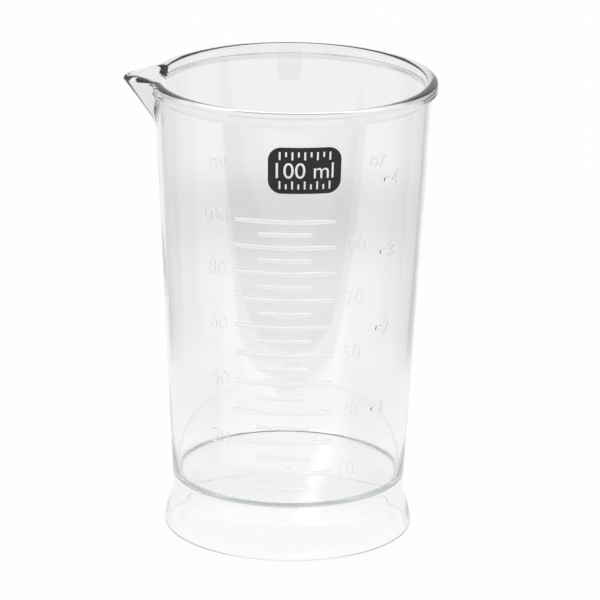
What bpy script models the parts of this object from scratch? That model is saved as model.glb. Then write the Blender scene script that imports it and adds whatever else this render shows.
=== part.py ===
"""A clear moulded measuring cup with a pour spout, a hollow flared foot and a raised volume scale.

The cup is one moulding: floor, drafted wall, beaded lip, spout, foot and scale. A badge is printed on it.
Metres, +Z up. The foot stands on z = 0, the spout points to -X and the scale faces -Y.
"""

import math

import bmesh
import bpy

# Wall and floor
CUP_HEIGHT = 0.0912  # table to the top of the lip
WALL = 0.0011
RIM_RADIUS = 0.0271  # outside of the wall, carried up to the top of the lip
FLOOR_RADIUS = 0.0230  # outside of the wall at the floor
FLOOR_HEIGHT = 0.0113  # table to the inside of the floor
FLOOR_THICKNESS = 0.0011
FLOOR_FILLET = 0.0005  # inside corner of floor and wall

# Lip
LIP_OVERHANG = 0.0010  # how far the bead stands out from the wall
LIP_HEIGHT = 0.0032
LIP_TAPER = 0.0010  # height of the slope under the bead
LIP_ROUND = 0.0005  # radius of the edge at the mouth
CROWN_WIDTH = 0.0014  # the top of the lip rounds off to the outside over this width
CROWN_DROP = 0.0009

# Foot
FOOT_RADIUS = 0.0245
FLARE_HEIGHT = 0.0080  # table to where the foot starts to flare out from the wall
FOOT_CHAMFER = 0.0002  # edges of the ring that stands on the table
GATE_RADIUS = 0.0012  # stub of the moulding gate, under the floor
GATE_HEIGHT = 0.0004

# Spout
SPOUT_REACH = 0.0050  # tip of the spout past the lip
SPOUT_WIDTH = 0.0159  # between the places where its sides leave the wall, at the top
SPOUT_DEPTH = 0.0100  # top of the lip down to where the keel leaves the wall
SPOUT_LIP = 0.0015  # thickness of its sides at the lip
SPOUT_BLEND = 0.0003  # width of the fillet between spout and lip
KEEL_BLEND = 0.0010  # width of the fillet where the keel runs into the wall
SPOUT_NOSE = math.radians(1.2)  # rounds the keel at the lip
KEEL_NOSE = math.radians(4.5)  # rounds it where it runs into the wall
SPOUT_DIP = 0.0003  # how far the tip hangs below the lip

# Scale, raised on the outside of the wall; volumes in cubic metres
MILLILITRE = 1e-6
MARK_STEP = 5 * MILLILITRE
TOP_MARK = 100 * MILLILITRE
FLUID_OUNCE = 28.413 * MILLILITRE
TOP_OUNCE = 4 * FLUID_OUNCE
LONG_MARK = 0.0198  # every second line
SHORT_MARK = 0.0105
OUNCE_MARK = 0.0019
OUNCE_ANGLE = math.radians(46.5)  # round from the middle of the scale
MARK_WIDTH = 0.0007
MARK_RAISE = 0.0003
MARK_DRAFT = 0.0001  # how far each flank of a line leans in
MARK_ROOT = 0.0004  # how deep a line is rooted in the wall

# Printed badge
BADGE_WIDTH = 0.0138
BADGE_HEIGHT = 0.0092
BADGE_CORNER = 0.0026
BADGE_DROP = 0.0036  # underside of the lip down to the badge
BADGE_ANGLE = math.radians(7.8)  # round from the middle of the scale
INK_THICKNESS = 0.0001
INK_CLEARANCE = 0.0003

# Resolution
WALL_STEP = math.radians(4.5)
SPOUT_COLUMNS = 10  # on each side of the keel
SPOUT_GATHER = 1.3  # crowds the columns towards the keel
SPOUT_LEVELS = 8
FLARE_LEVELS = 7
ROUND_STEPS = 3
CROWN_STEPS = 5
MARK_STEPS = 7
BADGE_STEPS = 16
GATE_SIDES = 16

SPOUT_SIDE = math.pi  # seen from above, round from +X
SCALE_SIDE = -math.pi / 2

# Sizes that follow from the ones above
DRAFT = (RIM_RADIUS - FLOOR_RADIUS) / (CUP_HEIGHT - FLOOR_HEIGHT)
LIP_RADIUS = RIM_RADIUS + LIP_OVERHANG
LIP_UNDERSIDE = CUP_HEIGHT - LIP_HEIGHT
TIP_RADIUS = LIP_RADIUS + SPOUT_REACH
AXIS_X = SPOUT_REACH / 2  # puts the middle of cup and spout together over the origin
SPOUT_ANGLE = math.atan2(SPOUT_WIDTH / 2, TIP_RADIUS - math.sqrt(RIM_RADIUS**2 - (SPOUT_WIDTH / 2) ** 2))
MOUTH_Z = CUP_HEIGHT - LIP_ROUND
EDGE_Z = CUP_HEIGHT - CROWN_DROP  # where the lip is widest
KEEL_SLOPE = (TIP_RADIUS - RIM_RADIUS + DRAFT * SPOUT_DEPTH) / (SPOUT_DEPTH - CROWN_DROP)
SPOUT_START = CUP_HEIGHT - SPOUT_DEPTH - KEEL_BLEND / (KEEL_SLOPE - DRAFT)


def spaced(first, last, count):
    return [first + (last - first) * i / count for i in range(count + 1)]


def wall_outside(z):
    """Outer radius of the drafted wall at height z."""
    return RIM_RADIUS - DRAFT * (CUP_HEIGHT - z)


def wall_inside(z):
    return wall_outside(z) - WALL


def skirt_outside(z):
    """Outer radius below the floor: the foot leaves the wall gently and stands upright on the table."""
    if z >= FLARE_HEIGHT:
        return wall_outside(z)
    eased = (1 + math.cos(math.pi * z / FLARE_HEIGHT)) / 2
    return wall_outside(z) + (FOOT_RADIUS - wall_outside(0.0)) * eased


def height_of_volume(volume):
    """Height to which this volume fills the cup, from the volume of a cone's frustum."""
    bottom = wall_inside(FLOOR_HEIGHT)
    surface = (bottom**3 + 3 * DRAFT * volume / math.pi) ** (1 / 3)
    return FLOOR_HEIGHT + (surface - bottom) / DRAFT


def quarter_ellipse(centre_r, centre_z, wide, tall, start, steps):
    """A quarter of an ellipse in the plane of the profile, from the start angle to 90 degrees less."""
    angles = [math.radians(start - turn) for turn in spaced(0, 90, steps)]
    return [(centre_r + wide * math.cos(a), centre_z + tall * math.sin(a)) for a in angles]


def quarter_round(centre_r, centre_z, radius, start):
    return quarter_ellipse(centre_r, centre_z, radius, radius, start, ROUND_STEPS)


def inner_profile():
    """Radius and height along the inside, from the middle of the floor to the top of the lip."""
    fillet_z = FLOOR_HEIGHT + FLOOR_FILLET
    fillet = quarter_round(wall_inside(fillet_z) - FLOOR_FILLET, fillet_z, FLOOR_FILLET, 0)
    wall = [(wall_inside(z), z) for z in spaced(SPOUT_START, MOUTH_Z, SPOUT_LEVELS)]
    edge = quarter_round(wall_inside(MOUTH_Z) + LIP_ROUND, MOUTH_Z, LIP_ROUND, 180)
    return [(0.0, FLOOR_HEIGHT)] + fillet[::-1] + wall + edge[1:]


def outer_profile():
    """Down the outside, from the top of the lip to the table."""
    bead = quarter_ellipse(LIP_RADIUS - CROWN_WIDTH, EDGE_Z, CROWN_WIDTH, CROWN_DROP, 90, CROWN_STEPS)
    bead.append((LIP_RADIUS, LIP_UNDERSIDE + LIP_TAPER))
    wall = [(wall_outside(z), z) for z in spaced(LIP_UNDERSIDE, SPOUT_START, SPOUT_LEVELS)]
    foot = [(skirt_outside(z), z) for z in spaced(FLARE_HEIGHT, FOOT_CHAMFER, FLARE_LEVELS)]
    return bead + wall + foot + [(skirt_outside(0.0) - FOOT_CHAMFER, 0.0)]


def under_profile():
    """Up the hollow side of the foot and in to the middle of the floor's underside."""
    underside = FLOOR_HEIGHT - FLOOR_THICKNESS
    skirt = [(skirt_outside(z) - WALL, z) for z in spaced(FOOT_CHAMFER, underside, FLARE_LEVELS)]
    return [(skirt_outside(0.0) - WALL + FOOT_CHAMFER, 0.0)] + skirt + [(0.0, underside)]


def smooth_max(a, b, width):
    """The larger of two radii, with a fillet of this width where they cross."""
    share = max(width - abs(a - b), 0.0) / width
    return max(a, b) + share * share * width / 4


def drawn_out(radius, z, turn):
    """Radius of a point of the profile once the spout has drawn it out; turn is its angle from the keel.

    Seen from above, a side of the spout is a straight line, which runs back from the keel at SPOUT_ANGLE.
    """
    if z < SPOUT_START:
        return radius
    outside = LIP_RADIUS if z > LIP_UNDERSIDE else wall_outside(z)
    depth = (outside - radius) / (outside - wall_inside(z))  # 0 on the outer face, 1 on the inner one
    in_lip = min(max((z - LIP_UNDERSIDE) / (EDGE_Z - LIP_UNDERSIDE), 0.0), 1.0)
    thick = WALL + (SPOUT_LIP - WALL) * in_lip
    keel = TIP_RADIUS - KEEL_SLOPE * max(EDGE_Z - z, 0.0) - depth * thick / math.sin(SPOUT_ANGLE)
    nearest = keel * math.sin(SPOUT_ANGLE)  # from the axis to the line
    turn = min(turn, 2 * math.pi - turn)
    below = min(2 * max(EDGE_Z - z, 0.0) / SPOUT_DEPTH, 1.0)
    nose = SPOUT_NOSE + (KEEL_NOSE - SPOUT_NOSE) * below
    rounded = math.hypot(turn, nose) - nose
    direction = min(SPOUT_ANGLE + rounded, math.pi / 2)
    blend = SPOUT_BLEND + (KEEL_BLEND - SPOUT_BLEND) * below
    return smooth_max(radius, nearest / math.sin(direction), min(blend, radius - nearest))


def dipped(radius, z):
    """Height of a point of the cup, which falls away past the lip towards the tip of the spout."""
    past = max(radius - LIP_RADIUS, 0.0) / SPOUT_REACH
    return z - SPOUT_DIP * past**2


def column_turns():
    """Angles of the columns of faces, once round from the keel, close together at the spout."""
    flank = math.asin(TIP_RADIUS * math.sin(SPOUT_ANGLE) / RIM_RADIUS)
    sector = (flank + math.pi / 2) / 2 - SPOUT_ANGLE
    near = [sector * (i / SPOUT_COLUMNS) ** SPOUT_GATHER for i in range(SPOUT_COLUMNS + 1)]
    rest = 2 * math.pi - 2 * sector
    far = spaced(sector, sector + rest, round(rest / WALL_STEP))
    return near + far[1:-1] + [2 * math.pi - turn for turn in reversed(near[1:])]


def on_cup(radius, angle, z):
    """The point at this radius, angle and height round the cup's axis."""
    return AXIS_X + radius * math.cos(angle), radius * math.sin(angle), z


def add_loft(mesh, rows):
    """Skin rows of points with faces; an end row of one point becomes a tip, and a longer one is capped."""
    rings = [[mesh.verts.new(point) for point in row] for row in rows]
    for low, high in zip(rings, rings[1:]):
        count = max(len(low), len(high))
        for i in range(count):
            j = (i + 1) % count
            corners = [low[i % len(low)], low[j % len(low)], high[j % len(high)], high[i % len(high)]]
            mesh.faces.new(list(dict.fromkeys(corners)))
    for end in (rings[0], rings[-1]):
        if len(end) > 1:
            mesh.faces.new(end)


def add_object(name, mesh):
    """Put a finished bmesh into the scene as a named object, its faces turned outwards."""
    bmesh.ops.recalc_face_normals(mesh, faces=mesh.faces)
    data = bpy.data.meshes.new(name)
    mesh.to_mesh(data)
    mesh.free()
    item = bpy.data.objects.new(name, data)
    bpy.context.collection.objects.link(item)
    return item


def shade_round(item):
    item.data.shade_smooth()
    item.data.set_sharp_from_angle(angle=math.radians(30))


def add_material(item, name, colour, roughness, transmission=0.0, ior=1.5):
    material = bpy.data.materials.new(name)
    material.use_nodes = True
    shader = material.node_tree.nodes["Principled BSDF"]
    shader.inputs["Base Color"].default_value = (*colour, 1.0)
    shader.inputs["Roughness"].default_value = roughness
    shader.inputs["Metallic"].default_value = 0.0
    shader.inputs["Transmission Weight"].default_value = transmission
    shader.inputs["IOR"].default_value = ior
    material.diffuse_color = (*colour, 1.0)
    item.data.materials.append(material)


def add_mark(mesh, angle, z, length):
    """One raised line of the scale, drafted on its flanks and rooted in the wall."""
    half_turn = length / 2 / wall_outside(z)
    root = MARK_WIDTH / 2
    crest = root - MARK_DRAFT
    section = [(-MARK_ROOT, -root), (MARK_RAISE, -crest), (MARK_RAISE, crest), (-MARK_ROOT, root)]
    rows = []
    for turn in spaced(angle - half_turn, angle + half_turn, MARK_STEPS):
        rows.append([on_cup(wall_outside(z + up) + out, SCALE_SIDE + turn, z + up) for out, up in section])
    add_loft(mesh, rows)


def badge_middle():
    return LIP_UNDERSIDE - BADGE_DROP - BADGE_HEIGHT / 2


def add_scale(mesh):
    """Every line that has room: volume lines up to the badge, ounce lines up to the lip."""
    room = badge_middle() - BADGE_HEIGHT / 2 - MARK_WIDTH
    for count in range(1, round(TOP_MARK / MARK_STEP) + 1):
        z = height_of_volume(count * MARK_STEP)
        if z < room:
            add_mark(mesh, 0.0, z, SHORT_MARK if count % 2 else LONG_MARK)
    for count in range(1, round(TOP_OUNCE / FLUID_OUNCE) + 1):
        z = height_of_volume(count * FLUID_OUNCE)
        if z < LIP_UNDERSIDE - MARK_WIDTH:
            add_mark(mesh, OUNCE_ANGLE, z, OUNCE_MARK)


def add_gate(mesh):
    """The short stub that the moulding gate leaves under the floor."""
    underside = FLOOR_HEIGHT - FLOOR_THICKNESS
    turns = spaced(0.0, 2 * math.pi, GATE_SIDES)[:-1]
    heights = (underside - GATE_HEIGHT, underside + FLOOR_THICKNESS / 2)
    add_loft(mesh, [[on_cup(GATE_RADIUS, turn, z) for turn in turns] for z in heights])


def build_cup():
    """The moulding: one lofted shell, with the scale and the gate stub united to it."""
    turns = column_turns()
    rows = []
    for radius, z in inner_profile() + outer_profile() + under_profile():
        radii = [drawn_out(radius, z, turn) for turn in turns]
        ring = [on_cup(r, SPOUT_SIDE + turn, dipped(r, z)) for r, turn in zip(radii, turns)]
        rows.append(ring if radius > 0.0 else ring[:1])
    shell = bmesh.new()
    add_loft(shell, rows)
    cup = add_object("cup", shell)
    add_material(cup, "clear_plastic", (0.93, 0.95, 0.95), 0.06, transmission=1.0, ior=1.57)

    details = bmesh.new()
    add_scale(details)
    add_gate(details)
    raised = add_object("raised_details", details)
    raised.hide_render = True
    raised.display_type = "WIRE"
    raised.parent = cup
    union = cup.modifiers.new("raised details", "BOOLEAN")
    union.operation = "UNION"
    union.solver = "EXACT"
    union.object = raised
    shade_round(cup)
    shade_round(raised)
    return cup


def build_badge():
    """A thin rounded plate of ink that follows the wall."""
    inside = INK_CLEARANCE
    outside = INK_CLEARANCE + INK_THICKNESS
    straight = BADGE_WIDTH / 2 - BADGE_CORNER
    rows = []
    for share in spaced(-math.pi / 2, math.pi / 2, BADGE_STEPS):
        along = BADGE_WIDTH / 2 * math.sin(share)
        past = max(abs(along) - straight, 0.0)
        half = BADGE_HEIGHT / 2 - BADGE_CORNER + math.sqrt(max(BADGE_CORNER**2 - past**2, 0.0))
        low, high = badge_middle() - half, badge_middle() + half
        angle = SCALE_SIDE + BADGE_ANGLE + along / wall_outside(badge_middle())
        corners = [(inside, low), (outside, low), (outside, high), (inside, high)]
        rows.append([on_cup(wall_outside(z) + out, angle, z) for out, z in corners])
    plate = bmesh.new()
    add_loft(plate, rows)
    badge = add_object("printed_badge", plate)
    shade_round(badge)
    add_material(badge, "black_ink", (0.012, 0.012, 0.014), 0.45)
    return badge


for leftover in list(bpy.data.objects):
    bpy.data.objects.remove(leftover, do_unlink=True)

build_cup()
build_badge()
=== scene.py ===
import math

import bmesh
import bpy
from mathutils import Matrix, Vector


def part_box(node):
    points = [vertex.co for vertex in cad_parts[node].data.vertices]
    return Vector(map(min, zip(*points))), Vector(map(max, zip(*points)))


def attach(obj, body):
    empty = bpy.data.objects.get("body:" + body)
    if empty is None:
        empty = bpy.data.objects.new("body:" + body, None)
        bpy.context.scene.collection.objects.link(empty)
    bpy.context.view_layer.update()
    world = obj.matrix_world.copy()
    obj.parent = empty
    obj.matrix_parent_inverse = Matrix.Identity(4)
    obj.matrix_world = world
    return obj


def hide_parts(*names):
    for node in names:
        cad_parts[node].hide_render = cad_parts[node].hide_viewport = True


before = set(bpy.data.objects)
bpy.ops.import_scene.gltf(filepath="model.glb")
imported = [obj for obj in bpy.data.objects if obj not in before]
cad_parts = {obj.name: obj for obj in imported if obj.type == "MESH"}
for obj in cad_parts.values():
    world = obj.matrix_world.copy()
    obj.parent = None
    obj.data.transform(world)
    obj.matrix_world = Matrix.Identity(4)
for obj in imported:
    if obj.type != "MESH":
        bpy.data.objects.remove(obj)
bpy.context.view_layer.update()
cupLow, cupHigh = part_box("cup")
badgeLow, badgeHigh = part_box("printed_badge")


# shader maths as expressions

class Wire:  # an output socket, or with no socket a way to add the first node of a tree
    def __init__(self, tree, socket=None):
        self.tree, self.socket = tree, socket

    def node(self, kind, settings=None, inputs=None, output=0):
        made = self.tree.nodes.new(kind)
        for name, value in (settings or {}).items():
            setattr(made, name, value)
        for name, value in (inputs or {}).items():
            if isinstance(value, Wire):
                self.tree.links.new(value.socket, made.inputs[name])
            else:
                made.inputs[name].default_value = value
        return Wire(self.tree, made.outputs[output]) if made.outputs else None

    def out(self, name):  # another output of the same node
        return Wire(self.tree, self.socket.node.outputs[name])

    def math(self, operation, *values):
        return self.node("ShaderNodeMath", {"operation": operation}, dict(enumerate(values)))

    def __add__(self, other):
        return self.math("ADD", self, other)

    def __sub__(self, other):
        return self.math("SUBTRACT", self, other)

    def __rsub__(self, other):
        return self.math("SUBTRACT", other, self)

    def __mul__(self, other):
        return self.math("MULTIPLY", self, other)

    def __gt__(self, other):
        return self.math("GREATER_THAN", self, other)

    __radd__, __rmul__ = __add__, __mul__

    def rise(self, start, end):  # 0 before start, 1 after end, eased between
        inputs = {"Value": self, "From Min": start, "From Max": end}
        return self.node("ShaderNodeMapRange", {"interpolation_type": "SMOOTHSTEP"}, inputs)


def mixColour(factor, first, second):
    inputs = {0: factor, 6: first, 7: second}  # the Mix node's sockets for colours
    return factor.node("ShaderNodeMix", {"data_type": "RGBA"}, inputs, output=2)


def noise(place, size, detail):
    return place.node("ShaderNodeTexNoise", {}, {"Vector": place, "Scale": size, "Detail": detail})


def isOn(count):  # a ray's flag or count of bounces
    return count > 0.5


def newMaterial(name):
    material = bpy.data.materials.new(name)
    material.use_nodes = True
    material.node_tree.nodes.clear()
    return material, Wire(material.node_tree)


# the cup: one moulding of clear plastic

cup = {
    "wall": 0.0011,
    "lipOverhang": 0.0010,  # the bead past the wall
    "lipHeight": 0.0032,
    "lipTaper": 0.0010,
    "mouthWide": 0.0009,  # the lip's top rounds off to the mouth over this width
    "lipRound": 0.0006,
    "crownWidth": 0.0012,  # and to the outside over this one
    "crownDrop": 0.0009,
    "floorRadius": 0.0230,
    "floorHeight": 0.0113,
    "floorThickness": 0.0008,
    "floorFillet": 0.0006,
    "undersideFillet": 0.0003,
    "footRadius": 0.0245,
    "flareHeight": 0.0080,
    "footRound": 0.0003,
    "gateRadius": 0.0008,
    "gateHeight": 0.00015,
    "spoutWidth": 0.0159,
    "spoutDepth": 0.0100,
    "spoutBlend": 0.0003,  # corner between spout and lip
    "keelBlend": 0.0010,  # where the keel runs into the wall
    "spoutNose": math.radians(2.5),  # rounds the keel at the lip
    "keelNose": math.radians(4.5),  # and further down
    "noseRun": 0.5,  # share of the spout's depth over which nose and blend grow
    "insideNose": 0.2,  # the nose inside, as a share of the one outside
    "keelDepth": 1.6,  # from the keel's outer edge to its inner one, in wall thicknesses
    "spoutLip": 0.0012,  # the wall thickness that this multiplies at the lip
    "spoutDip": 0.0003,  # how far the tip hangs below the lip
    "columnStep": math.radians(1.0),
    "spoutColumns": 72,
    "spoutGather": 1.5,  # crowds the columns towards the keel
    "spoutRows": 26,
    "wallRows": 10,
    "footRows": 14,
    "beadRows": 3,
    "floorMiddle": 0.003,  # radius of the floor's first ring
    "floorMargin": 0.0015,  # from its last ring to the fillet
    "floorRings": 6,
    "undersideRings": 5,
    "gateSides": 32,
    "roundSteps": 6,
    "crownSteps": 12,
}
sharpAngle = math.radians(30.0)  # steeper edges are shaded sharp
height = cupHigh.z
lipRadius = (cupHigh.y - cupLow.y) / 2
axisX = cupHigh.x - lipRadius
tipRadius = axisX - cupLow.x
rimRadius = lipRadius - cup["lipOverhang"]
draft = (rimRadius - cup["floorRadius"]) / (height - cup["floorHeight"])
lipUnderside = height - cup["lipHeight"]
mouthZ = height - cup["lipRound"]
edgeZ = height - cup["crownDrop"]  # where the lip is widest
spoutReach = tipRadius - lipRadius
halfMouth = cup["spoutWidth"] / 2
spoutAngle = math.atan2(halfMouth, tipRadius - math.sqrt(rimRadius**2 - halfMouth**2))
keelSlope = (tipRadius - rimRadius + draft * cup["spoutDepth"]) / (cup["spoutDepth"] - cup["crownDrop"])
spoutStart = height - cup["spoutDepth"] - cup["keelBlend"] / (keelSlope - draft)
spoutSide, scaleSide = math.pi, -math.pi / 2


def spaced(first, last, count):
    return [first + (last - first) * i / count for i in range(count + 1)]


def wallOutside(z):
    return rimRadius - draft * (height - z)


def wallInside(z):
    return wallOutside(z) - cup["wall"]


def footOutside(z):
    if z >= cup["flareHeight"]:
        return wallOutside(z)
    eased = (1 + math.cos(math.pi * z / cup["flareHeight"])) / 2
    return wallOutside(z) + (cup["footRadius"] - wallOutside(0.0)) * eased


def ellipse(centreR, centreZ, wide, tall, start, end, steps):
    turns = [math.radians(a) for a in spaced(start, end, steps)]
    return [(centreR + wide * math.cos(a), centreZ + tall * math.sin(a)) for a in turns]


def arc(centreR, centreZ, radius, start, end):
    return ellipse(centreR, centreZ, radius, radius, start, end, cup["roundSteps"])


def insideProfile():
    floor, fillet = cup["floorHeight"], cup["floorFillet"]
    low = floor + fillet
    widest = wallInside(low) - fillet - cup["floorMargin"]
    rows = [(0.0, floor)]
    rows += [(r, floor) for r in spaced(cup["floorMiddle"], widest, cup["floorRings"])]
    rows += arc(wallInside(low) - fillet, low, fillet, -90, 0)
    rows += [(wallInside(z), z) for z in spaced(low, spoutStart, cup["wallRows"])[1:-1]]
    rows += [(wallInside(z), z) for z in spaced(spoutStart, mouthZ, cup["spoutRows"])[:-1]]
    wide, tall = cup["mouthWide"], cup["lipRound"]
    return rows + ellipse(wallInside(mouthZ) + wide, mouthZ, wide, tall, 180, 90, cup["crownSteps"])


def outsideProfile():
    beadLow = lipUnderside + cup["lipTaper"]
    wide = cup["crownWidth"]
    rows = ellipse(lipRadius - wide, edgeZ, wide, cup["crownDrop"], 90, 0, cup["crownSteps"])
    rows += [(lipRadius, z) for z in spaced(edgeZ, beadLow, cup["beadRows"])[1:]]
    rows += [(wallOutside(z), z) for z in spaced(lipUnderside, spoutStart, cup["spoutRows"])]
    rows += [(wallOutside(z), z) for z in spaced(spoutStart, cup["flareHeight"], cup["wallRows"])[1:]]
    low = cup["footRound"]
    rows += [(footOutside(z), z) for z in spaced(cup["flareHeight"], low, cup["footRows"])[1:-1]]
    return rows + arc(footOutside(low) - low, low, low, 0, -90)


def undersideProfile():
    top = cup["floorHeight"] - cup["floorThickness"]
    low, fillet = cup["footRound"], cup["undersideFillet"]
    rows = arc(footOutside(low) - cup["wall"] + low, low, low, -90, -180)
    rows += [(footOutside(z) - cup["wall"], z) for z in spaced(low, top - fillet, cup["footRows"])[1:-1]]
    rows += arc(footOutside(top - fillet) - cup["wall"] - fillet, top - fillet, fillet, 0, 90)
    widest = rows[-1][0] - cup["floorMargin"]
    rows += [(r, top) for r in spaced(widest, cup["floorMiddle"], cup["undersideRings"])]
    return rows + [(0.0, top)]


def smoothMax(a, b, width):
    share = max(width - abs(a - b), 0.0) / width
    return max(a, b) + share * share * width / 4


def drawnOut(radius, z, turn):  # where a point of the profile goes once the spout is drawn out
    if z < spoutStart:
        return radius
    outside = lipRadius if z > lipUnderside else wallOutside(z)
    depth = (outside - radius) / (outside - wallInside(z))  # 0 on the outer face, 1 on the inner one
    inLip = min(max((z - lipUnderside) / (edgeZ - lipUnderside), 0.0), 1.0)
    thick = cup["wall"] + (cup["spoutLip"] - cup["wall"]) * inLip
    keel = tipRadius - keelSlope * max(edgeZ - z, 0.0) - depth * thick * cup["keelDepth"]
    nearest = keel * math.sin(spoutAngle)  # seen from above, a side is a straight line this far off
    turn = min(turn, 2 * math.pi - turn)
    below = min(max(edgeZ - z, 0.0) / (cup["spoutDepth"] * cup["noseRun"]), 1.0)
    nose = cup["spoutNose"] + (cup["keelNose"] - cup["spoutNose"]) * below
    nose = nose * (1.0 - (1.0 - cup["insideNose"]) * depth)
    rounded = math.hypot(turn, nose) - nose
    direction = min(spoutAngle + rounded, math.pi / 2)
    blend = cup["spoutBlend"] + (cup["keelBlend"] - cup["spoutBlend"]) * below
    return smoothMax(radius, nearest / math.sin(direction), min(blend, radius - nearest))


def onCup(radius, angle, z):
    past = max(radius - lipRadius, 0.0) / spoutReach
    return axisX + radius * math.cos(angle), radius * math.sin(angle), z - cup["spoutDip"] * past**2


def columnTurns():
    flank = math.asin(tipRadius * math.sin(spoutAngle) / rimRadius)
    sector = (flank + math.pi / 2) / 2 - spoutAngle
    count = cup["spoutColumns"]
    near = [sector * (i / count) ** cup["spoutGather"] for i in range(count + 1)]
    rest = 2 * math.pi - 2 * sector
    far = spaced(sector, sector + rest, round(rest / cup["columnStep"]))
    return near + far[1:-1] + [2 * math.pi - turn for turn in reversed(near[1:])]


def loft(mesh, rows):
    rings = [[mesh.verts.new(point) for point in row] for row in rows]
    for low, high in zip(rings, rings[1:]):
        count = max(len(low), len(high))
        for i in range(count):
            j = (i + 1) % count
            corners = [low[i % len(low)], low[j % len(low)], high[j % len(high)], high[i % len(high)]]
            mesh.faces.new(list(dict.fromkeys(corners)))
    for end in (rings[0], rings[-1]):
        if len(end) > 1:
            mesh.faces.new(end)


def newObject(name, mesh):
    bmesh.ops.recalc_face_normals(mesh, faces=mesh.faces)
    data = bpy.data.meshes.new(name)
    mesh.to_mesh(data)
    mesh.free()
    item = bpy.data.objects.new(name, data)
    bpy.context.scene.collection.objects.link(item)
    return item


def makeShell():
    turns = columnTurns()
    rows = []
    for radius, z in insideProfile() + outsideProfile() + undersideProfile():
        ring = [onCup(drawnOut(radius, z, turn), spoutSide + turn, z) for turn in turns]
        rows.append(ring if radius > 0.0 else ring[:1])
    mesh = bmesh.new()
    loft(mesh, rows)
    return newObject("cupBody", mesh)


# raised lines and numerals

scale = {  # volumes in cubic metres, places in degrees round from the middle of the lines
    "millilitre": 1e-6,
    "step": 5e-6,
    "top": 100e-6,
    "ounce": 28.413e-6,
    "ounces": 4,
    "longLine": 0.0198,
    "shortLine": 0.0105,
    "ounceLine": 0.0019,
    "ounceAngle": 46.5,
    "lineWidth": 0.0009,
    "raise": 0.0002,
    "root": 0.0004,  # how deep lines and numerals are rooted in the wall
    "lineSteps": 36,
    "lineSides": 8,
    "lineEnd": 0.15,  # share of the section left at the very end
    "numeralHeight": 0.0030,
    "numeralRaise": 0.00005,
    "numeralShare": 0.70,  # height of a numeral in the font's size
    "numeralSteps": 6,
    "soften": 0.00003,
    "softenSteps": 2,
    "weld": 1e-6,
    "leftColumn": -31.3,
    "rightColumn": 32.4,
    "ounceColumn": 51.5,
    "unitHeight": 0.0803,
    "leftUnit": -29.7,
    "rightUnit": 40.9,
}


def heightOfVolume(volume):
    bottom = wallInside(cup["floorHeight"])
    surface = (bottom**3 + 3 * draft * volume / math.pi) ** (1 / 3)
    return cup["floorHeight"] + (surface - bottom) / draft


def onWall(along, up, out, angle, z):  # a flat pattern's point, wrapped on the wall
    turn = scaleSide + angle + along / wallOutside(z)
    radius = wallOutside(z + up) + out
    return axisX + radius * math.cos(turn), radius * math.sin(turn), z + up


def addLine(mesh, angle, z, length):  # a half-round rib with round ends
    foot = scale["lineWidth"] / 2
    turns = spaced(0.0, math.pi, scale["lineSides"])
    rows = []
    for turn in spaced(-math.pi / 2, math.pi / 2, scale["lineSteps"]):
        along = length / 2 * math.sin(turn)
        past = max(abs(along) - length / 2 + foot, 0.0) / foot
        size = max(math.sqrt(1.0 - min(past, 1.0) ** 2), scale["lineEnd"])
        tall, half = scale["raise"] * size, foot * size
        section = [(tall * math.sin(side), -half * math.cos(side)) for side in turns]
        section = [(-scale["root"], -half)] + section + [(-scale["root"], half)]
        rows.append([onWall(along, up, out, angle, z) for out, up in section])
    loft(mesh, rows)


def letters(text, tall, out, root, soften=0.0):  # centred on the origin, from -root to out in Z
    curve = bpy.data.curves.new(text, "FONT")
    curve.body = text
    curve.size = tall / scale["numeralShare"]
    curve.extrude = (out + root) / 2 - soften
    curve.bevel_depth = soften
    curve.offset = -soften
    curve.bevel_resolution = scale["softenSteps"] if soften else 0
    curve.resolution_u = scale["numeralSteps"]
    holder = bpy.data.objects.new(text, curve)
    bpy.context.scene.collection.objects.link(holder)
    seen = holder.evaluated_get(bpy.context.evaluated_depsgraph_get())
    flat = bmesh.new()
    flat.from_mesh(seen.to_mesh())
    bpy.data.objects.remove(holder)
    bpy.data.curves.remove(curve)
    bmesh.ops.remove_doubles(flat, verts=flat.verts, dist=scale["weld"])
    xs = [v.co.x for v in flat.verts]
    ys = [v.co.y for v in flat.verts]
    middle = Vector(((min(xs) + max(xs)) / 2, (min(ys) + max(ys)) / 2, (root - out) / 2))
    for vert in flat.verts:
        vert.co -= middle
    return flat


def addNumeral(mesh, text, angle, z):
    flat = letters(text, scale["numeralHeight"], scale["numeralRaise"], scale["root"], scale["soften"])
    for vert in flat.verts:
        vert.co = onWall(vert.co.x, vert.co.y, vert.co.z, math.radians(angle), z)
    data = bpy.data.meshes.new(text)
    flat.to_mesh(data)
    flat.free()
    mesh.from_mesh(data)
    bpy.data.meshes.remove(data)


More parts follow.
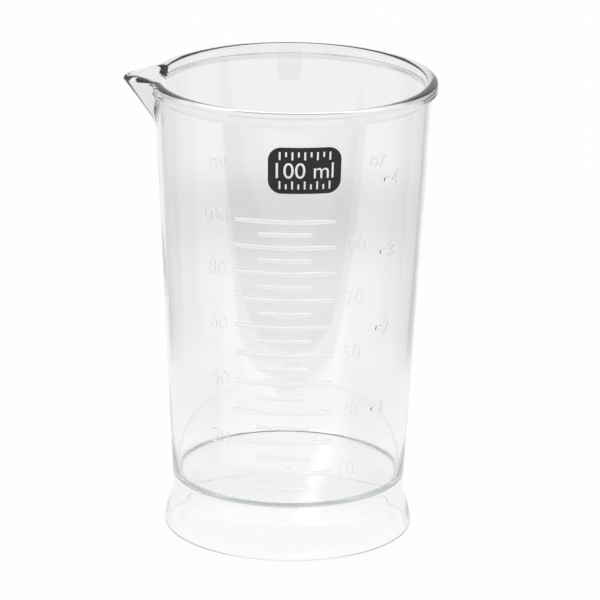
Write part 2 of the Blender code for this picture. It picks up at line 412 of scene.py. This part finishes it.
def makeRaised():
    mesh = bmesh.new()
    for count in range(1, round(scale["top"] / scale["step"]) + 1):
        z = heightOfVolume(count * scale["step"])
        addLine(mesh, 0.0, z, scale["shortLine"] if count % 2 else scale["longLine"])
        if count % 2 == 0:  # every second line is numbered, right and left in turn
            millilitres = round(count * scale["step"] / scale["millilitre"])
            column = scale["leftColumn"] if count % 4 == 0 else scale["rightColumn"]
            addNumeral(mesh, str(millilitres), column, z)
    for count in range(1, scale["ounces"] + 1):
        z = heightOfVolume(count * scale["ounce"])
        addLine(mesh, math.radians(scale["ounceAngle"]), z, scale["ounceLine"])
        addNumeral(mesh, str(count), scale["ounceColumn"], z)
    addNumeral(mesh, "ml", scale["leftUnit"], scale["unitHeight"])
    addNumeral(mesh, "oz", scale["rightUnit"], scale["unitHeight"])
    underside = cup["floorHeight"] - cup["floorThickness"]
    turns = spaced(0.0, 2 * math.pi, cup["gateSides"])[:-1]
    heights = (underside - cup["gateHeight"], underside + cup["floorThickness"] / 2)
    loft(mesh, [[onCup(cup["gateRadius"], turn, z) for turn in turns] for z in heights])
    return newObject("raisedDetails", mesh)


def unite(item, other, operation):
    union = item.modifiers.new("join", "BOOLEAN")
    union.operation, union.solver, union.object = operation, "EXACT", other
    seen = item.evaluated_get(bpy.context.evaluated_depsgraph_get())
    data = bpy.data.meshes.new_from_object(seen)
    item.modifiers.clear()
    old = item.data
    item.data = data
    data.name = item.name
    bpy.data.meshes.remove(old)
    bpy.data.objects.remove(other)


def shadeRound(item):
    item.data.shade_smooth()
    item.data.set_sharp_from_angle(angle=sharpAngle)


# clear plastic

plastic = {
    "ior": 1.57,
    "roughness": 0.015,
    "smudge": 0.03,  # extra roughness in patches, as from handling
    "smudgeScale": 180.0,
    "smudgeDetail": 3.0,
    "smudgeFrom": 0.5,
    "smudgeTo": 0.75,
    "tint": (0.44, 0.50, 0.52, 1.0),
    "density": 19.0,  # of the tint, in the volume
    "flow": 0.00005,  # waves left by the moulding
    "flowScale": 55.0,
    "flowDetail": 1.0,
}


def makePlastic():
    material, start = newMaterial("clearPlastic")
    place = start.node("ShaderNodeTexCoord").out("Object")
    waves = noise(place, plastic["flowScale"], plastic["flowDetail"])
    smudge = noise(place, plastic["smudgeScale"], plastic["smudgeDetail"])
    bump = waves.node("ShaderNodeBump", {}, {"Height": waves, "Distance": plastic["flow"], "Strength": 1.0})
    patches = smudge.rise(plastic["smudgeFrom"], plastic["smudgeTo"])
    roughness = plastic["roughness"] + plastic["smudge"] * patches
    shader = start.node(
        "ShaderNodeBsdfPrincipled",
        {},
        {
            "Base Color": (1.0, 1.0, 1.0, 1.0),
            "Roughness": roughness,
            "IOR": plastic["ior"],
            "Transmission Weight": 1.0,
            "Normal": bump,
        },
    )
    volume = start.node(
        "ShaderNodeVolumeAbsorption", {}, {"Color": plastic["tint"], "Density": plastic["density"]}
    )
    start.node("ShaderNodeOutputMaterial", {}, {"Surface": shader, "Volume": volume})
    return material


body = makeShell()
unite(body, makeRaised(), "UNION")
shadeRound(body)
body.data.materials.append(makePlastic())
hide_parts("cup")
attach(body, "root")
print("cup:", len(body.data.polygons), "faces")


# printed badge

badge = {
    "corner": 0.0026,
    "gap": 0.00001,  # keeps its back apart from the wall
    "thickness": 0.00003,
    "columns": 70,
    "text": "100 ml",
    "textHeight": 0.0031,
    "tickGap": 0.0012,
    "tickWidth": 0.00035,
    "tickLong": 0.0016,
    "tickShort": 0.0010,
    "edge": 0.0009,  # from the ticks to the plate's edge
    "cut": 0.001,  # how far what is cut out reaches past each face
}
ink = {
    "black": (0.010, 0.010, 0.012, 1.0),
    "pale": (0.022, 0.022, 0.024, 1.0),  # where the film is thin
    "grainScale": 2600.0,
    "grainDetail": 2.0,
    "paleFrom": 0.35,
    "paleTo": 0.8,
    "relief": 0.00001,
    "reliefStrength": 0.5,
    "roughness": 0.35,
    "roughnessGrain": 0.2,
}


def makeInk():
    material, start = newMaterial("blackInk")
    place = start.node("ShaderNodeTexCoord").out("Object")
    grain = noise(place, ink["grainScale"], ink["grainDetail"])
    colour = mixColour(grain.rise(ink["paleFrom"], ink["paleTo"]), ink["black"], ink["pale"])
    relief = {"Height": grain, "Distance": ink["relief"], "Strength": ink["reliefStrength"]}
    bump = grain.node("ShaderNodeBump", {}, relief)
    roughness = ink["roughness"] + ink["roughnessGrain"] * grain
    shader = start.node(
        "ShaderNodeBsdfPrincipled",
        {},
        {"Base Color": colour, "Roughness": roughness, "Normal": bump},
    )
    start.node("ShaderNodeOutputMaterial", {}, {"Surface": shader})
    return material


def makeBadge():
    z = (badgeLow.z + badgeHigh.z) / 2
    radius = wallOutside(z)
    left = math.asin((badgeLow.x - axisX) / radius)
    right = math.asin((badgeHigh.x - axisX) / radius)
    wide, tall = (right - left) * radius, badgeHigh.z - badgeLow.z
    straight = wide / 2 - badge["corner"]
    rows = []
    for turn in spaced(-math.pi / 2, math.pi / 2, badge["columns"]):
        along = wide / 2 * math.sin(turn)
        past = max(abs(along) - straight, 0.0)
        half = tall / 2 - badge["corner"] + math.sqrt(max(badge["corner"] ** 2 - past**2, 0.0))
        corners = [(-half, 0.0), (-half, badge["thickness"]), (half, badge["thickness"]), (half, 0.0)]
        rows.append([(along, up, out) for up, out in corners])
    mesh = bmesh.new()
    loft(mesh, rows)
    plate = newObject("inkBadge", mesh)

    holes = letters(badge["text"], badge["textHeight"], badge["cut"], badge["cut"])
    ticks = math.floor((wide / 2 - badge["edge"] - badge["corner"] / 2) / badge["tickGap"])
    for side in (-1, 1):
        for count in range(-ticks, ticks + 1):
            tickTall = badge["tickShort"] if count % 2 else badge["tickLong"]
            middle = side * (tall / 2 - badge["edge"] - tickTall / 2)
            place = Matrix.Translation((count * badge["tickGap"], middle, 0.0))
            size = Matrix.Diagonal((badge["tickWidth"], tickTall, 2 * badge["cut"], 1.0))
            bmesh.ops.create_cube(holes, size=1.0, matrix=place @ size)
    unite(plate, newObject("badgeHoles", holes), "DIFFERENCE")
    for vert in plate.data.vertices:
        along, up, out = vert.co
        vert.co = onWall(along, up, out + badge["gap"], (left + right) / 2, z)
    return plate


plate = makeBadge()
shadeRound(plate)
plate.data.materials.append(makeInk())
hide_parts("printed_badge")
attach(plate, "root")
print("badge:", len(plate.data.polygons), "faces")


# studio

studio = {  # metres and degrees; a level of 1 is white
    "floorSize": 6.0,
    "floorDrop": 0.00002,  # keeps the floor's surface apart from the foot's
    "floorColour": (0.96, 0.96, 0.96, 1.0),
    "floorGlow": 0.96,  # share of the floor's look that keeps no shadow
    "footGlass": (1.0, 1.0, 1.0, 1.0),  # painted light: the floor shows this through the plastic, in front
    "footGlassTo": 0.007,
    "footGlassSoft": 0.005,
    "floorGlass": (0.940, 0.940, 0.945, 1.0),  # painted shade close behind it
    "nearGlass": (0.890, 0.890, 0.900, 1.0),  # more painted shade further behind
    "floorGlassNear": 0.045,
    "floorGlassFar": 0.070,
    "shadeGlass": (0.740, 0.740, 0.755, 1.0),  # painted soft shade further back
    # painted shade, lighter again, past the soft shade
    "farGlass": (0.895, 0.895, 0.908, 1.0),
    "shadeNear": 0.155,
    "shadeDeep": 0.213,
    "shadeFar": 0.224,
    "shadeEnd": 0.264,
    "shadeAside": 0.15,  # how much weaker the shade is to the sides
    "asideNear": 0.02,
    "asideFar": 0.06,
    "sideLevel": 0.60,  # darker sides of the room
    "sideLow": 20.0,
    "sideHigh": 42.0,
    "sideFrom": 55.0,
    "sideTo": 125.0,
    "sideSoft": 5.0,
    "table": 0.92,  # the table's painted level where the plastic mirrors it
    "tableSoft": 6.0,
    "bright": 1.08,  # painted lighter reflection, left and right of the grey patch
    "brightFrom": 50.0,
    "brightTo": 84.0,
    "brightNear": 0.105,
    "brightFar": 0.270,
    "brightSoft": 0.015,
    "dark": 0.62,  # painted darker reflection, behind, to the left and right
    "darkFrom": 108.0,
    "darkLeft": 142.0,
    "darkRight": 155.0,
    "darkNear": 0.110,
    "darkSoft": 0.02,
    "behind": 1.20,  # painted brighter reflection close behind the foot
    "behindFrom": 140.0,
    "behindFar": 0.055,
    "strip": 1.38,  # painted brighter reflection in front of the cup
    "stripHalf": 56.0,
    "stripNear": 0.058,
    "stripFar": 0.16,
    "underCup": 1.00,  # painted level between the strip and the foot
    "underRadius": 0.055,
    "edgeSoft": 0.004,
    "greyReflection": 0.42,  # painted reflection: the floor is painted this grey where the plastic mirrors it, as a grey card in front of the cup would show
    "reflectionEdge": -0.099,
    "reflectionLift": 0.007,  # the painted patch's right half lies a little nearer the cup
    "liftFrom": 0.030,
    "liftTo": 0.080,
    "reflectionLeft": -0.085,  # where its near edge turns away from the cup
    "reflectionRight": 0.095,
    "reflectionLeftSlope": 0.34,
    "reflectionRightSlope": 0.13,
    "reflectionFar": -0.225,
    "streak": 2.3,  # painted narrow light on the table, seen in reflections
    "streakTurn": 29.0,
    "streakAway": 0.060,
    "streakLean": 520.0,  # degrees further round for each metre further out
    "streakHalf": 7.0,
    "streakSoft": 5.0,
    "streakNear": 0.038,
    "streakFar": 0.080,
}


def degrees(wire):
    return wire * (180 / math.pi)


def aroundFront(x, y):  # degrees from the camera's side, + to the right
    return degrees(x.math("ARCTAN2", x, y * -1.0))


def after(value, start, edge):
    return value.rise(start - edge, start + edge)


def between(value, low, high, edge):
    return after(value, low, edge) * (1.0 - after(value, high, edge))


def towards(level, other, share):
    return level + (other - level) * share


def makeStudio():
    world = bpy.data.worlds.new("studio")
    world.use_nodes = True
    world.node_tree.nodes.clear()
    start = Wire(world.node_tree)
    direction = start.node("ShaderNodeTexCoord").out("Generated")
    x = direction.node("ShaderNodeSeparateXYZ", {}, {0: direction})
    turned = x.math("ABSOLUTE", aroundFront(x, x.out("Y")))
    elevation = degrees(x.math("ARCSINE", x.out("Z")))
    side = between(turned, studio["sideFrom"], studio["sideTo"], studio["sideSoft"])
    side = side * between(elevation, studio["sideLow"], studio["sideHigh"], studio["sideSoft"])
    bounced = isOn(start.node("ShaderNodeLightPath").out("Glossy Depth"))
    level = 1.0 - (1.0 - studio["sideLevel"]) * side * bounced
    shader = start.node("ShaderNodeBackground", {}, {"Strength": level})
    start.node("ShaderNodeOutputWorld", {}, {"Surface": shader})
    bpy.context.scene.world = world


def tableLevel(x, y, away):  # painted reflections: how bright the table is painted where the plastic mirrors it
    azimuth = aroundFront(x, y)
    turned = azimuth.math("ABSOLUTE", azimuth)
    soft = studio["tableSoft"]
    bright = between(turned, studio["brightFrom"], studio["brightTo"], soft)
    bright = bright * between(away, studio["brightNear"], studio["brightFar"], studio["brightSoft"])
    level = towards(studio["table"], studio["bright"], bright)
    dark = between(azimuth, -studio["darkLeft"], -studio["darkFrom"], soft)
    dark = dark + between(azimuth, studio["darkFrom"], studio["darkRight"], soft)
    level = towards(level, studio["dark"], dark * after(away, studio["darkNear"], studio["darkSoft"]))
    behind = after(turned, studio["behindFrom"], soft)
    behind = behind * (1.0 - after(away, studio["behindFar"], studio["darkSoft"]))
    level = towards(level, studio["behind"], behind)
    inFront = 1.0 - after(turned, studio["stripHalf"], soft)
    strip = after(away, studio["stripNear"], studio["edgeSoft"])
    strip = strip * (1.0 - after(away, studio["stripFar"], studio["darkSoft"]))
    level = towards(level, studio["strip"], inFront * strip)
    under = 1.0 - after(away, studio["underRadius"], studio["edgeSoft"])
    level = towards(level, studio["underCup"], inFront * under)
    aside = azimuth - studio["streakTurn"] - studio["streakLean"] * (away - studio["streakAway"])
    streak = between(aside, -studio["streakHalf"], studio["streakHalf"], studio["streakSoft"])
    streak = streak * between(away, studio["streakNear"], studio["streakFar"], studio["brightSoft"])
    level = towards(level, studio["streak"], streak)
    # painted reflection of a grey card: a darker patch of the floor, seen only in reflections
    pastRight = x.math("MAXIMUM", x - studio["reflectionRight"], 0.0)
    pastLeft = x.math("MAXIMUM", studio["reflectionLeft"] - x, 0.0)
    edge = studio["reflectionEdge"] + studio["reflectionLift"] * x.rise(studio["liftFrom"], studio["liftTo"])
    edge = edge - studio["reflectionRightSlope"] * pastRight - studio["reflectionLeftSlope"] * pastLeft
    within = edge - y
    covered = after(within, 0.0, studio["edgeSoft"]) * after(y, studio["reflectionFar"], studio["darkSoft"])
    return towards(level, studio["greyReflection"], covered)


def glassColour(x, y, away):  # painted light and shade: the floor as it shows through the plastic
    further = away.rise(studio["floorGlassNear"], studio["floorGlassFar"])
    colour = mixColour(further, studio["floorGlass"], studio["nearGlass"])
    behind = after(y, studio["footGlassTo"], studio["footGlassSoft"])
    colour = mixColour(behind, studio["footGlass"], colour)
    lighter = away.rise(studio["shadeFar"], studio["shadeEnd"])
    colour = mixColour(lighter, colour, studio["farGlass"])
    shade = away.rise(studio["shadeNear"], studio["shadeDeep"]) * (1.0 - lighter)
    aside = x.math("ABSOLUTE", x).rise(studio["asideNear"], studio["asideFar"])
    return mixColour(shade * (1.0 - studio["shadeAside"] * aside), colour, studio["shadeGlass"])


def makeFloor():
    mesh = bmesh.new()
    bmesh.ops.create_grid(mesh, x_segments=1, y_segments=1, size=studio["floorSize"] / 2)
    floor = newObject("floor", mesh)
    floor.location.z = -studio["floorDrop"]
    material, start = newMaterial("paleFloor")
    place = start.node("ShaderNodeNewGeometry").out("Position")
    x = place.node("ShaderNodeSeparateXYZ", {}, {0: place})
    y = x.out("Y")
    away = x.math("SQRT", x * x + y * y)
    path = start.node("ShaderNodeLightPath")
    bounced = isOn(path.out("Glossy Depth"))
    seen = path.out("Is Camera Ray")
    glassy = isOn(path.out("Is Glossy Ray") + path.out("Is Transmission Ray"))
    # painted light and shade where the floor shows through the plastic
    colour = mixColour(seen + bounced, glassColour(x, y, away), (1.0, 1.0, 1.0, 1.0))
    # painted reflection levels where the floor shows in the plastic
    strength = towards(1.0, tableLevel(x, y, away), bounced)
    glow = start.node("ShaderNodeEmission", {}, {"Color": colour, "Strength": strength})
    plain = start.node("ShaderNodeBsdfDiffuse", {}, {"Color": studio["floorColour"]})
    share = studio["floorGlow"] * isOn(seen + glassy)
    share = share + (1.0 - share) * (bounced * glassy)
    surface = start.node("ShaderNodeMixShader", {}, {0: share, 1: plain, 2: glow})
    start.node("ShaderNodeOutputMaterial", {}, {"Surface": surface})
    floor.data.materials.append(material)


camera = {  # metres, lens and sensor in millimetres; it looks at a point beside the cup's axis
    "azimuth": math.radians(2.686),
    "elevation": math.radians(17.732),
    "roll": math.radians(0.833),
    "distance": 0.8677,
    "aimAcross": 0.001862,
    "aimHeight": 0.04576,
    "lens": 264.345,
    "sensor": 36.0,
    "clipStart": 0.05,
    "clipEnd": 20.0,
}


def makeCamera():
    azimuth, elevation, roll = camera["azimuth"], camera["elevation"], camera["roll"]
    right = Vector((math.cos(azimuth), math.sin(azimuth), 0.0))
    level = Vector((math.sin(azimuth), -math.cos(azimuth), 0.0))
    back = level * math.cos(elevation) + Vector((0.0, 0.0, math.sin(elevation)))
    aim = Vector((axisX, 0.0, camera["aimHeight"])) + right * camera["aimAcross"]
    turned = Matrix((right, back.cross(right), back)).transposed() @ Matrix.Rotation(roll, 3, "Z")
    data = bpy.data.cameras.new("camera")
    data.lens, data.sensor_width = camera["lens"], camera["sensor"]
    data.clip_start, data.clip_end = camera["clipStart"], camera["clipEnd"]
    item = bpy.data.objects.new("camera", data)
    item.matrix_world = Matrix.Translation(aim + back * camera["distance"]) @ turned.to_4x4()
    bpy.context.scene.collection.objects.link(item)
    bpy.context.scene.camera = item


makeStudio()
makeFloor()
makeCamera()
bpy.context.scene.view_settings.view_transform = "Standard"
bounces = {"most": 96, "mirrored": 64}  # light runs a long way inside the floor and the lip
cycles = bpy.context.scene.cycles
cycles.max_bounces, cycles.transmission_bounces = bounces["most"], bounces["most"]
cycles.glossy_bounces = bounces["mirrored"]
print("studio ready")
